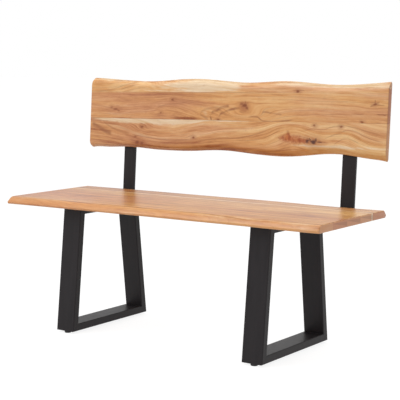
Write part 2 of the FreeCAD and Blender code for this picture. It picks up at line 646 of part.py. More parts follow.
os.makedirs("parts", exist_ok=True)
for node in nodes:
    node.Shape.exportStep(f"parts/{node.Label}.step")
    box = node.Shape.BoundBox
    print(f"{node.Label}: {len(node.Shape.Solids)} solids, {node.Shape.Volume:.0f} mm3,",
          f"X {box.XMin:.1f} to {box.XMax:.1f}, Y {box.YMin:.1f} to {box.YMax:.1f},",
          f"Z {box.ZMin:.1f} to {box.ZMax:.1f}")
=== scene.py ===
import json
import math

import bmesh
import bpy
import numpy as np
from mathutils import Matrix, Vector, noise


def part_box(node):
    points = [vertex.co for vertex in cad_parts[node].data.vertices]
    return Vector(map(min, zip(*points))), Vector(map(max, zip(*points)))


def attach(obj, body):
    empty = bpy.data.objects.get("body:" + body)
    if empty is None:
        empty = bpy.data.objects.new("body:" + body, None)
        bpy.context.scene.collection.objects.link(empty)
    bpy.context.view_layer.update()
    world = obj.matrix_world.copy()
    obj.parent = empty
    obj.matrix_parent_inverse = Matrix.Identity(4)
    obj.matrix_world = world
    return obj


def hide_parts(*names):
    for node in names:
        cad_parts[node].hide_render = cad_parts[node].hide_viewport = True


# A bench of lacquered live-edge planks on black steel frames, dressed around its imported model.
# Metres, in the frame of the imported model. Places of marks in the wood are in millimetres.

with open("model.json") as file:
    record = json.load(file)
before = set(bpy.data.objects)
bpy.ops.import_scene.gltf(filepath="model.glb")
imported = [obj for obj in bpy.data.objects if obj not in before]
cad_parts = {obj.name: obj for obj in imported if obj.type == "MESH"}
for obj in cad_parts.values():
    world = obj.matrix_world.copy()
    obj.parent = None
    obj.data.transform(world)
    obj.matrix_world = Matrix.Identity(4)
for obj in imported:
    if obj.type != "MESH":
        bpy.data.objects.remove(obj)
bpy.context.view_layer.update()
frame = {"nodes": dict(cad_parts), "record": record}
nodes = frame["nodes"]
MM = 0.001


def srgb(red, green, blue):
    """Linear colour of an 8-bit display colour, with full alpha."""
    shares = [channel / 255 for channel in (red, green, blue)]
    linear = [
        share / 12.92 if share <= 0.04045 else ((share + 0.055) / 1.055) ** 2.4
        for share in shares
    ]
    return linear + [1.0]


# Noise layers of the wood: repeats per metre along and across the log, detail and roughness
GRAIN = {
    "slow": (1.5, 11, 1.0, 0.5),
    "ripple": (8, 70, 1.0, 0.5),
    "patch": (3, 45, 2.0, 0.5),
    "streak": (6, 150, 3.0, 0.5),
    "mottle": (26, 120, 3.0, 0.6),
    "fibre": (16, 420, 3.0, 0.6),
    "cloud": (2.4, 22, 2.0, 0.5),
    "pore": (34, 800, 2.0, 0.5),
    "tint": (3.1, 34, 2.0, 0.5),
}
# Weights of the layers in the tone; a layer of noise is 0.5 on average
WEIGHTS = {"bands": 0.5, "streak": 0.75, "mottle": 0.4, "fibre": 0.4, "cloud": 0.5, "early": -0.16}
AVERAGE = 0.5

# Sway of the whole log, and growth rings: reach of what stirs them, spacing and sharpness of their lines
SWAY_SCALE = (6, 20, 20)
SWAY = 16 * MM
SLOW_STIR = 18 * MM
RIPPLE_STIR = 3 * MM
BANDS_PER_METRE = 60.0
RING_SHARPNESS = 6.0
EARLY_RING = 3.3 * MM
EARLY_SHARPNESS = 3.0
# Spacing of the ring lines where a board gives none, in millimetres like the boards' own
RING = 9

# Limits between which ring lines, pores and the full contrast of the face come in, spread of the tint
# between warm and rosy, and height of the fibres beside the depth of the pores
PATCH_LIMITS = (0.38, 0.62)
PORE_LIMITS = (0.60, 0.72)
CALM_DEPTHS = (-6 * MM, -0.5 * MM)
TINT_SPREAD = 2.4
FIBRE_HEIGHT = 0.5

# Rim and core of the kinds of marks, as shares of their ellipses
PALE_REACH = (1.5, 0.0)
RED_REACH = (1.4, 0.1)
HALO_REACH = (3.4, 0.8)
CORE_REACH = (1.3, 0.3)
# Rim and core of a trace as shares of its width, and where it has come in from its ends
TRACE_REACH = (1.6, 0.2)
TRACE_FADE = 0.12

# How the grain breaks up the marks: repeats per metre, and how far it moves marks and traces
WANDER_SCALE = (40, 150, 150)
MARK_WANDER = (16 * MM, 0, 7 * MM)
TRACE_WANDER = (5 * MM, 0, 2.5 * MM)
HATCH_SCALE = (100, 45, 45)
STIR = 1.5
PALE_STIR = 0.6
RED_STIR = 1.4
# Ramps of the masks: from, to and, where given, the values there
PALE_RAMP = (0.15, 1.05, 0.0, 0.95)
RED_RAMP = (0.1, 2.0)
THREAD_RAMP = (0.3, 0.6, 0.45, 1.0)
GLUE_RAMP = (1.3 * MM, 0.2 * MM)
GLUE_FADE = 400 * MM

# Colours of the marks, and how strongly each covers the wood
SAP = ((0.3, srgb(213, 178, 132)), (0.8, srgb(238, 219, 190)))
SAP_TONE = 0.7
RUST = ((0.36, srgb(190, 110, 50)), (0.64, srgb(154, 72, 20)))
HALO = srgb(160, 96, 58)
THREAD = srgb(132, 72, 36)
KNOT = srgb(126, 60, 10)
PIT = srgb(62, 20, 8)
PORE = srgb(124, 74, 46)
GLUE = srgb(110, 64, 40)
LINE_COVER = 0.38
END_COVER = 0.86
HALO_COVER = 0.5
KNOT_COVER = 0.92
PIT_COVER = 0.9
PORE_COVER = 0.22

# Repeats per metre of the noises in coats, plated steel and plastic
PEEL_SCALE = (900, 900, 900)
HAZE_SCALE = (60, 60, 6)
TURNING_SCALE = (300, 300, 2400)
SPANGLE_SCALE = (420, 420, 420)
SPARK_SCALE = (1600, 1600, 1600)
WEAR_SCALE = (120, 120, 120)


# Node graphs
class Graph:
    """Shorthand for the nodes of one material."""

    def __init__(self, name):
        self.material = bpy.data.materials.new(name)
        self.material.use_nodes = True
        self.tree = self.material.node_tree
        self.shader = self.tree.nodes["Principled BSDF"]

    def feed(self, socket, value):
        """Link a socket, or set a plain value."""
        if isinstance(value, bpy.types.NodeSocket):
            self.tree.links.new(value, socket)
        else:
            socket.default_value = value

    def add(self, kind, *values, output=0, **settings):
        """New node with its inputs fed in order; None leaves one as it is."""
        made = self.tree.nodes.new("ShaderNode" + kind)
        for name, value in settings.items():
            setattr(made, name, value)
        for socket, value in zip(made.inputs, values):
            if value is not None:
                self.feed(socket, value)
        return made.outputs[output]

    def math(self, operation, *values):
        """One step of arithmetic."""
        return self.add("Math", *values, operation=operation)

    def slope(self, value, rise, base):
        """Value times a rise, on a base."""
        return self.math("MULTIPLY_ADD", value, rise, base)

    def scaled(self, vector, *scale):
        """Vector with each of its numbers scaled."""
        return self.add("VectorMath", vector, scale, operation="MULTIPLY")

    def moved(self, base, vector, scale):
        """Base moved by a scaled vector."""
        return self.add("VectorMath", vector, scale, base, operation="MULTIPLY_ADD")

    def noise(self, vector, detail=2.0, rough=0.5):
        """Noise in space."""
        return self.add("TexNoise", vector, None, 1.0, detail, rough)

    def noise_along(self, value, detail=2.0):
        """Noise along one number."""
        return self.add("TexNoise", None, value, 1.0, detail, noise_dimensions="1D")

    def ramp(self, value, low, high, start=0.0, end=1.0):
        """Smooth step of a value from one number to another."""
        return self.add("MapRange", value, low, high, start, end, interpolation_type="SMOOTHSTEP")

    def blend(self, share, first, second):
        """Mix of two colours; the sockets between its share and its colours stay as they are."""
        blanks = [None] * 5
        return self.add("Mix", share, *blanks, first, second, output=2, data_type="RGBA")

    def stain(self, colour, mask, cover, tint):
        """Colour with a tint over it, at its full cover where the mask is 1."""
        return self.blend(self.math("MULTIPLY", mask, cover), colour, tint)

    def colours(self, value, *stops):
        """Colour ramp through (place, colour) stops."""
        made = self.tree.nodes.new("ShaderNodeValToRGB")
        points = made.color_ramp.elements
        while len(points) < len(stops):
            points.new(0.5)
        for point, (place, colour) in zip(points, stops):
            point.position = place
            point.color = colour
        self.feed(made.inputs[0], value)
        return made.outputs[0]

    def attribute(self, name, output="Vector"):
        """Attribute of the mesh."""
        made = self.tree.nodes.new("ShaderNodeAttribute")
        made.attribute_name = name
        return made.outputs[output]

    def parts(self, vector):
        """The three numbers of a vector."""
        return self.add("SeparateXYZ", vector).node.outputs

    def join(self, operation, values):
        """All values put together by one operation, or zero for none."""
        total = 0.0
        for row, value in enumerate(values):
            total = value if row == 0 else self.math(operation, total, value)
        return total

    def rings(self, radius, spacing, sharpness):
        """Lines that rise to 1 at each spacing, thinner where they are sharper."""
        share = self.math("FRACT", self.math("DIVIDE", radius, spacing))
        return self.math("POWER", share, sharpness)

    def patches(self, operation, place, marks, reach):
        """Soft ellipses of all marks, each at its strength in the core and gone at the rim."""
        spots = []
        for along, across, length, height, strength in marks:
            scale = (1 / (length * MM), 0, 1 / (height * MM))
            shift = (-along / length, 0, -across / height)
            inside = self.moved(shift, place, scale)
            distance = self.add("VectorMath", inside, output="Value", operation="LENGTH")
            spots.append(self.ramp(distance, *reach, 0.0, strength))
        return self.join(operation, spots)

    def trace(self, along, across, path, width, strength):
        """Soft line along a path of (along, across) points, fading at its ends."""
        places, rises = np.array(path, float).T
        first = places[0]
        last = places[-1]
        low = rises.min()
        span = max(np.ptp(rises), 1.0)
        share = self.add("MapRange", along, first * MM, last * MM)
        made = self.tree.nodes.new("ShaderNodeFloatCurve")
        points = made.mapping.curves[0].points
        for _ in places[2:]:
            points.new(0.5, 0.5)
        for point, place, rise in zip(points, places, rises):
            point.location = ((place - first) / (last - first), (rise - low) / span)
        made.mapping.update()
        self.feed(made.inputs["Value"], share)
        level = self.slope(made.outputs[0], span * MM, low * MM)
        gap = self.math("ABSOLUTE", self.math("SUBTRACT", across, level))
        rim, core = TRACE_REACH
        near = self.ramp(gap, rim * width * MM, core * width * MM, 0.0, strength)
        inner = self.math("MULTIPLY", share, self.math("SUBTRACT", 1.0, share))
        return self.math("MULTIPLY", near, self.ramp(inner, 0.0, TRACE_FADE))

    def bump(self, height, distance, strength):
        """Fine relief of the surface."""
        made = self.tree.nodes.new("ShaderNodeBump")
        made.inputs["Strength"].default_value = strength
        made.inputs["Distance"].default_value = distance
        self.feed(made.inputs["Height"], height)
        self.feed(self.shader.inputs["Normal"], made.outputs[0])

    def set(self, **values):
        """Feed inputs of the shader, named with underscores for spaces."""
        for name, value in values.items():
            self.feed(self.shader.inputs[name.replace("_", " ")], value)
        return self.material


# Materials
def wood(name, palette, figure):
    """Lacquered acacia: growth rings, streaks, fibres, pores and the marks of one board."""
    graph = Graph(name)
    local = graph.attribute("local")
    seam = graph.attribute("seam", "Fac")
    # The tone in the traits carries the painted light and shade of the boards' figures.
    hue, tone, end = graph.parts(graph.attribute("traits"))
    log = graph.attribute("log")
    sway = graph.math("SUBTRACT", graph.noise(graph.scaled(log, *SWAY_SCALE)), AVERAGE)
    log = graph.moved(log, graph.add("CombineXYZ", 0.0, 0.0, sway), (0, 0, SWAY))

    # Streaks, fibres, pores and clouds of tone
    layers = {}
    for layer, (lengthwise, crosswise, detail, rough) in GRAIN.items():
        stretched = graph.scaled(log, lengthwise, crosswise, crosswise)
        layers[layer] = graph.noise(stretched, detail, rough)
    pore = graph.ramp(layers["pore"], *PORE_LIMITS)

    # Growth rings about the pith, stirred by slow noise
    spoke = graph.scaled(log, 0, 1, 1)
    radius = graph.add("VectorMath", spoke, output="Value", operation="LENGTH")
    radius = graph.slope(layers["slow"], SLOW_STIR, radius)
    radius = graph.slope(layers["ripple"], RIPPLE_STIR, radius)
    layers["bands"] = graph.noise_along(graph.math("MULTIPLY", radius, BANDS_PER_METRE))
    layers["early"] = graph.rings(radius, EARLY_RING, EARLY_SHARPNESS)
    late = graph.rings(radius, figure.get("ring", RING) * MM, RING_SHARPNESS)
    lines = graph.math("MULTIPLY", late, graph.ramp(layers["patch"], *PATCH_LIMITS))

    # Tone of all layers together, then its colour
    contrast = palette["contrast"] * figure.get("liveliness", 1.0)
    value = -contrast * sum(WEIGHTS.values()) / 2
    for layer, weight in WEIGHTS.items():
        value = graph.slope(layers[layer], contrast * weight, value)
    calm = graph.ramp(graph.parts(local)[1], *CALM_DEPTHS, palette["edge"], 1.0)
    value = graph.slope(value, calm, graph.math("ADD", tone, AVERAGE))
    warm = graph.colours(value, *palette["warm"])
    rosy = graph.colours(value, *palette["rosy"])
    tint = graph.math("SUBTRACT", layers["tint"], AVERAGE)
    colour = graph.blend(graph.slope(tint, TINT_SPREAD, hue), rosy, warm)
    lines = graph.math("MULTIPLY", lines, calm)
    colour = graph.stain(colour, lines, LINE_COVER, palette["line"])
    colour = graph.stain(colour, end, END_COVER, figure.get("end", palette["end"]))

    # Places of marks and traces, their rims broken up by the grain
    wander = graph.add("TexNoise", graph.scaled(local, *WANDER_SCALE), None, 1.0, output="Color")
    wander = graph.add("VectorMath", wander, [AVERAGE] * 3, operation="SUBTRACT")
    place = graph.moved(local, wander, MARK_WANDER)
    along, _, across = graph.parts(graph.moved(local, wander, TRACE_WANDER))
    both = graph.math("ADD", layers["streak"], layers["mottle"])
    stir = graph.math("MULTIPLY", graph.math("SUBTRACT", both, 2 * AVERAGE), STIR)

    # Pale sapwood
    pale = graph.patches("ADD", place, figure.get("pale", ()), PALE_REACH)
    pale = graph.ramp(graph.slope(stir, PALE_STIR, pale), *PALE_RAMP)
    # Sapwood follows the tone, so the painted light and shade in the tone reach it too.
    sap = graph.colours(graph.slope(tone, SAP_TONE, layers["streak"]), *SAP)
    colour = graph.blend(pale, colour, sap)

    # Red heart, hatched across the grain
    hatch = graph.noise(graph.scaled(place, *HATCH_SCALE), detail=3.0, rough=0.6)
    red = graph.patches("ADD", place, figure.get("red", ()), RED_REACH)
    red = graph.slope(stir, RED_STIR, red)
    red = graph.math("ADD", graph.math("SUBTRACT", hatch, AVERAGE), red)
    colour = graph.blend(graph.ramp(red, *RED_RAMP), colour, graph.colours(hatch, *RUST))

    # Halos of the knots, traces, then knots and cracks, pits and pores
    knots = figure.get("knots", ())
    halos = graph.patches("MAXIMUM", place, knots, HALO_REACH)
    colour = graph.stain(colour, halos, HALO_COVER, HALO)
    threads = [graph.trace(along, across, *thread) for thread in figure.get("traces", ())]
    broken = graph.ramp(layers["mottle"], *THREAD_RAMP)
    colour = graph.stain(colour, graph.join("MAXIMUM", threads), broken, THREAD)
    cores = graph.patches("MAXIMUM", place, [*knots, *figure.get("cracks", ())], CORE_REACH)
    colour = graph.stain(colour, cores, KNOT_COVER, KNOT)
    pits = graph.patches("MAXIMUM", place, figure.get("pits", ()), CORE_REACH)
    colour = graph.stain(colour, pits, PIT_COVER, PIT)
    colour = graph.stain(colour, pore, PORE_COVER, PORE)

    # Glue lines, stronger at one end of the plank
    shown = graph.ramp(along, 0.0, GLUE_FADE, *palette["seam"])
    colour = graph.stain(colour, graph.ramp(seam, *GLUE_RAMP), shown, GLUE)

    rough = graph.slope(layers["fibre"], rise=0.16, base=palette["rough"])
    height = graph.math("SUBTRACT", graph.math("MULTIPLY", layers["fibre"], FIBRE_HEIGHT), pore)
    graph.bump(height, distance=0.15 * MM, strength=0.25)
    return graph.set(
        Base_Color=colour, Roughness=rough, IOR=1.5, Specular_IOR_Level=palette["gloss"]
    )


def object_place(graph):
    """Place on the object, in metres."""
    return graph.add("TexCoord", output="Object")


def powder_coat(name):
    """Satin black powder coat with its fine orange peel."""
    graph = Graph(name)
    place = object_place(graph)
    peel = graph.noise(graph.scaled(place, *PEEL_SCALE))
    haze = graph.noise(graph.scaled(place, *HAZE_SCALE), detail=3.0)
    colour = graph.colours(haze, (0.3, srgb(29, 25, 27)), (0.7, srgb(36, 32, 34)))
    rough = graph.slope(haze, rise=0.14, base=0.36)
    graph.bump(peel, distance=0.08 * MM, strength=0.35)
    return graph.set(Base_Color=colour, Roughness=rough, Specular_IOR_Level=0.22)


def plated(name, dull, bright, roughness):
    """Plated or blackened steel with fine turning marks."""
    graph = Graph(name)
    place = object_place(graph)
    grain = graph.noise(graph.scaled(place, *TURNING_SCALE), detail=3.0)
    spangle = graph.add("TexVoronoi", graph.scaled(place, *SPANGLE_SCALE), None, 1.0)
    sheen = graph.slope(spangle, rise=0.4, base=grain)
    colour = graph.colours(sheen, (0.3, dull), (0.9, bright))
    rough = graph.slope(grain, rise=0.2, base=roughness)
    graph.bump(grain, distance=0.03 * MM, strength=0.3)
    return graph.set(Base_Color=colour, Metallic=1.0, Roughness=rough)


def plastic(name):
    """Moulded black plastic with a fine spark-eroded grain."""
    graph = Graph(name)
    place = object_place(graph)
    grain = graph.noise(graph.scaled(place, *SPARK_SCALE), detail=3.0)
    wear = graph.noise(graph.scaled(place, *WEAR_SCALE), detail=3.0)
    colour = graph.colours(wear, (0.35, srgb(22, 22, 23)), (0.7, srgb(38, 37, 37)))
    rough = graph.slope(wear, rise=0.15, base=0.5)
    graph.bump(grain, distance=0.06 * MM, strength=0.4)
    return graph.set(Base_Color=colour, Roughness=rough)


materials = {
    "black_steel": powder_coat("black_steel"),
    "foot_plastic": plastic("foot_plastic"),
    "zinc_steel": plated("zinc_steel", srgb(150, 150, 152), srgb(205, 206, 208), 0.28),
    "bolt_steel": plated("bolt_steel", srgb(40, 40, 42), srgb(78, 77, 78), 0.34),
}
# Woods: colours by tone, of ring lines and of end grain; edge is the share of contrast left below the
# top face, and seam the strength of glue lines left and right of the middle
palettes = {
    "back_wood": {
        "warm": ((0.0, srgb(152, 80, 32)), (0.5, srgb(214, 156, 94)), (1.0, srgb(238, 203, 148))),
        "rosy": ((0.0, srgb(146, 78, 44)), (0.5, srgb(203, 144, 98)), (1.0, srgb(233, 192, 152))),
        "line": srgb(142, 84, 48), "end": srgb(168, 96, 60),
        "contrast": 1.2, "edge": 1.0, "gloss": 0.5, "rough": 0.30, "seam": (0.45, 0.12),
    },
    "seat_wood": {
        "warm": ((0.0, srgb(124, 60, 18)), (0.5, srgb(183, 122, 60)), (1.0, srgb(218, 170, 102))),
        "rosy": ((0.0, srgb(122, 56, 20)), (0.5, srgb(180, 110, 56)), (1.0, srgb(214, 153, 95))),
        "line": srgb(124, 66, 36), "end": srgb(202, 136, 94),
        "contrast": 1.9, "edge": 0.5, "gloss": 0.55, "rough": 0.26, "seam": (0.4, 0.3),
    },
}
for row in frame["record"]["subparts"]:
    if row["material_slot"] in materials:
        slots = nodes[row["node"]].data.materials
        slots.clear()
        slots.append(materials[row["material_slot"]])

# Boards: spacing of their points, easing of their ends and of other corners
GRID = 4 * MM
ARRIS = 2 * MM
ARRIS_STEPS = 4
END_INSET = 0.9 * ARRIS
CORNER_STEPS = 6
SHARP_ANGLE = math.radians(50)
# Largest share of a side that a rounded corner takes
LARGEST_ROUND = 0.6
# Radii of a live edge at its far arris, its crest and its near arris
BACK_RADII = (9 * MM, 5 * MM, 3 * MM)
FRONT_RADII = (2 * MM, 3 * MM, 14 * MM)
REAR_RADII = (2 * MM, 3 * MM, 4 * MM)
# Place of the crest among the corners of a live board's outline
CREST = 2
# Round corners at the backrest's left end
BACK_CORNER = 9 * MM
CORNER_DROP = 16 * MM
CORNER_STATIONS = 9
# Relief of a live edge: its height, how far it is sunk, repeats per metre, and how fast it fades
LIVE_RELIEF = 0.6 * MM
RELIEF_SINK = 0.5
RELIEF_ALONG = 11
RELIEF_DEEP = 30
RELIEF_FADE = 6
# Distance within which points count as lying on a face
TOUCH = 0.4 * MM
LEAN = math.radians(4.2)
# Slow drift of the grain across a board, and how far apart the boards lie in the log
DRIFT = 4 * MM
DRIFT_TURN = 9
LOG_STEP = 3.1


# Planks: depth runs from minus the thickness to zero, across runs from board to board
def node_points(name):
    """Vertices of a CAD node."""
    mesh = nodes[name].data
    points = np.empty(len(mesh.vertices) * 3)
    mesh.vertices.foreach_get("co", points)
    return points.reshape(-1, 3)


class SeatPlank:
    """Seat: depth is zero at its top, across is to the back from the middle of its centre stave."""

    def __init__(self):
        low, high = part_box("seat_centre_stave")
        self.top = high.z
        self.thick = high.z - low.z
        self.middle = (low.y + high.y) / 2

    def local(self, points):
        """Places along, in depth and across."""
        return np.column_stack((points[:, 0], points[:, 2] - self.top, points[:, 1] - self.middle))

    def world(self, along, depth, across):
        """Points in the frame of the model."""
        return np.stack((along, across + self.middle, depth + self.top), -1)


class BackPlank:
    """Backrest: depth is zero at its rear face, across is up the lean from seat height."""

    def __init__(self, seat_top):
        points = node_points("back_middle_board")
        level = points[:, 1] * math.cos(LEAN) - points[:, 2] * math.sin(LEAN)
        self.thick = level.max() - level.min()
        self.foot_z = seat_top
        self.foot_y = (level.max() + seat_top * math.sin(LEAN)) / math.cos(LEAN)

    def local(self, points):
        """Places along, in depth and across."""
        back = points[:, 1] - self.foot_y
        up = points[:, 2] - self.foot_z
        depth = back * math.cos(LEAN) - up * math.sin(LEAN)
        across = back * math.sin(LEAN) + up * math.cos(LEAN)
        return np.column_stack((points[:, 0], depth, across))

    def world(self, along, depth, across):
        """Points in the frame of the model."""
        back = depth * math.cos(LEAN) + across * math.sin(LEAN)
        up = across * math.cos(LEAN) - depth * math.sin(LEAN)
        return np.stack((along, back + self.foot_y, up + self.foot_z), -1)


def line_at(points, depth):
    """Places (along, across) of a board's vertices that lie at one depth, in order along it."""
    found = points[abs(points[:, 1] - depth) < TOUCH]
    return found[np.argsort(found[:, 0])][:, [0, 2]]


def rounded(corners, radii, runs, crest):
    """Closed outline with rounded corners, the crest at its full reach, sides divided into runs."""
    count = len(corners)
    shares = np.linspace(0, 1, CORNER_STEPS)[:, None]
    arcs = []
    for row, corner in enumerate(corners):
        if radii[row] == 0:
            arcs.append([corner])
            continue
        before = corners[row - 1] - corner
        after = corners[(row + 1) % count] - corner
        start = before * min(radii[row] / np.linalg.norm(before), LARGEST_ROUND)
        finish = after * min(radii[row] / np.linalg.norm(after), LARGEST_ROUND)
        arc = corner + start * (1 - shares) ** 2 + finish * shares ** 2
        if row == crest:
            # The middle of the arc lies a quarter of both ends inside the corner
            arc = arc - (start + finish) / 4
        arcs.append(list(arc))
    outline = []
    for row, arc in enumerate(arcs):
        outline.extend(arc)
        start = arc[-1]
        side = arcs[(row + 1) % count][0] - start
        outline.extend(start + side * step / runs[row] for step in range(1, runs[row]))
    return np.array(outline)


def stations_of(low, high, corner):
    """Stations along a board, closer where its ends are rounded, with the inset at each."""
    turns = np.linspace(0, math.pi / 2, ARRIS_STEPS)
    middle = np.arange(low + ARRIS + GRID, high - ARRIS - GRID / 2, GRID)
    if corner:
        fine = low + corner * (1 - np.cos(np.linspace(0, math.pi / 2, CORNER_STATIONS)))
        straight = middle[middle > low + corner + GRID / 2]
        middle = np.concatenate((fine[fine > low + ARRIS], straight))
    rise = ARRIS * np.sin(turns)
    inset = ARRIS * (1 - np.cos(turns))
    along = np.concatenate((low + ARRIS - rise[::-1], middle, high - ARRIS + rise))
    insets = np.concatenate((inset[::-1], np.zeros(len(middle)), inset))
    return along, insets


def loft(name, points):
    """Mesh object over a grid of points, one closed outline per station, its ends filled."""
    stations, count, _ = points.shape
    faces = []
    for station in range(stations - 1):
        here = station * count
        beyond = here + count
        for point in range(count):
            following = (point + 1) % count
            faces.append((here + point, here + following, beyond + following, beyond + point))
    last = (stations - 1) * count
    faces.append(tuple(range(count)))
    faces.append(tuple(range(last, last + count)))
    mesh = bpy.data.meshes.new(name)
    mesh.from_pydata(points.reshape(-1, 3).tolist(), [], faces)
    shell = bmesh.new()
    shell.from_mesh(mesh)
    bmesh.ops.recalc_face_normals(shell, faces=shell.faces)
    shell.to_mesh(mesh)
    shell.free()
    mesh.shade_smooth()
    mesh.set_sharp_from_angle(angle=SHARP_ANGLE)
    made = bpy.data.objects.new(name, mesh)
    bpy.context.scene.collection.objects.link(made)
    return made


def board(node, plank, seams, live, radii, figure, corner=0.0):
    """Finely divided board that stands for a CAD node; live is the sign of its live edge, or 0."""
    points = plank.local(node_points(node))
    along, insets = stations_of(points[:, 0].min(), points[:, 0].max(), corner)
    glue = [np.interp(along, *seam.T) for seam in seams]
    far = np.full_like(along, -plank.thick)
    near = np.zeros_like(along)
    if live:
        edge = live_lines(node, points, along, live, plank.thick, corner)
        shape = [(far, glue[0]), *edge, (near, glue[0])]
        radii = [0.0, *radii, 0.0]
    else:
        shape = [(far, glue[0]), (far, glue[1]), (near, glue[1]), (near, glue[0])]
        radii = [0.0] * 4

    # Number of runs on each side of the outline
    spans = []
    for row in range(len(shape)):
        run = np.hypot(shape[row][0] - shape[row - 1][0], shape[row][1] - shape[row - 1][1]).mean()
        spans.append(max(1, math.ceil(run / GRID)))
    runs = spans[1:] + spans[:1]

    # Outline at each station, inset at the ends and falling at a round corner
    rows = []
    for station, inset in enumerate(insets):
        left = max(0.0, corner - (along[station] - along[0]))
        fall = CORNER_DROP * (1 - math.sqrt(1 - (left / corner) ** 2)) if corner else 0.0
        corners = []
        for row, (depth, across) in enumerate(shape):
            deep = depth[station] + (inset if depth[station] < -plank.thick / 2 else -inset)
            wide = across[station]
            if live and 0 < row < len(shape) - 1:
                wide -= live * (fall + inset)
            corners.append(np.array((deep, wide)))
        rows.append(rounded(corners, radii, runs, CREST if live else None))
    section = np.array(rows)
    where = np.repeat(along[:, None], section.shape[1], 1)
    depth = section[:, :, 0]
    across = section[:, :, 1]
    if live:
        across = across + live * relief(where, depth, across, glue[0], live)
    made = loft(node + "_plank", plank.world(where, depth, across))
    gap = np.min([abs(across - line[:, None]) for line in glue], axis=0)
    ends = np.repeat(insets > END_INSET, section.shape[1])
    paint(made, figure, where.ravel(), depth.ravel(), across.ravel(), gap.ravel(), ends)
    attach(made, "bench")
    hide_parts(node)
    return made


def live_lines(node, points, along, live, thick, corner):
    """Far arris, crest and near arris of a live edge at each station, cut from the CAD board."""
    mesh = nodes[node].data
    ends = np.empty(len(mesh.edges) * 2, int)
    mesh.edges.foreach_get("vertices", ends)
    first, second = points[ends.reshape(-1, 2).T]
    low = points[:, 0].min() + corner + TOUCH
    high = points[:, 0].max() - TOUCH
    lines = []
    for station in np.clip(along, low, high):
        hit = (first[:, 0] - station) * (second[:, 0] - station) < 0
        run = second[hit] - first[hit]
        cut = first[hit] + run * ((station - first[hit, 0]) / run[:, 0])[:, None]
        crest = cut[np.argmax(live * cut[:, 2])]
        far = cut[abs(cut[:, 1] + thick) < TOUCH][:, 2]
        near = cut[abs(cut[:, 1]) < TOUCH][:, 2]
        lines.append((live * max(live * far), crest[2], live * max(live * near), crest[1]))
    far, crest, near, depth = np.array(lines).T
    depths = (-thick, np.median(depth), 0.0)
    return [(np.full_like(along, level), line) for level, line in zip(depths, (far, crest, near))]


def relief(along, depth, across, glue, live):
    """Small natural unevenness of a live edge, fading towards the glue line."""
    reach = abs(across - glue[:, None])
    share = (reach / reach.max()) ** RELIEF_FADE
    bumps = np.array([
        noise.noise(Vector((place * RELIEF_ALONG, deep * RELIEF_DEEP, live)))
        for place, deep in zip(along.ravel(), depth.ravel())
    ]).reshape(along.shape)
    return LIVE_RELIEF * share * (bumps - RELIEF_SINK)


# Figure of the wood
def patch(along, across, mark):
    """Soft patch: centre along and across, half length and half height."""
    centre, level, length, height = (float(value) for value in mark)
    return np.exp(-((along / MM - centre) / length) ** 2 - ((across / MM - level) / height) ** 2)


def spread(along, values):
    """Values spaced evenly along a board."""
    stations = np.linspace(along.min(), along.max(), len(values))
    return np.interp(along, stations, np.array(values, float))


def paint(made, figure, along, depth, across, gap, ends):
    """Attributes that the wood reads: place in the log and on the plank, traits whose tone carries
    painted light and shade, distance to a seam.
    """
    flow = across.copy()
    for *mark, rise in figure.get("swells", ()):
        flow -= rise * MM * patch(along, across, mark)
    for *mark, pull in figure.get("eyes", ()):
        flow -= pull * (across - mark[1] * MM) * patch(along, across, mark)
    pith_depth, pith_across, tilt = figure["pith"]
    drift = DRIFT * np.sin(along * DRIFT_TURN + figure["seed"])
    log = (
        along + LOG_STEP * figure["seed"],
        depth - (pith_depth + tilt * along) * MM,
        flow - pith_across * MM + drift,
    )
    tone = spread(along, figure["tones"])
    hue = spread(along, figure["hues"])
    # Shades lift tone and hue; some of them are painted light, shade or reflection, as noted at each
    # board.
    for *mark, lift, warmth in figure.get("shades", ()):
        share = patch(along, across, mark)
        tone += lift * share
        hue += warmth * share
    # Bands by depth paint light and shade into the tone: shade on an up-facing rim, a highlight and
    # bounce light on an edge.
    for start, full, lifts, warmth in figure.get("painted_light_and_shade", ()):
        share = np.clip((-depth / MM - start) / (full - start), 0, 1)
        tone += spread(along, lifts) * share
        hue += warmth * share
    vectors = {"log": log, "local": (along, depth, across), "traits": (hue, tone, ends)}
    attributes = made.data.attributes
    for name, columns in vectors.items():
        values = np.column_stack(columns).astype(np.float32).ravel()
        attributes.new(name, "FLOAT_VECTOR", "POINT").data.foreach_set("vector", values)
    attributes.new("seam", "FLOAT", "POINT").data.foreach_set("value", gap.astype(np.float32))
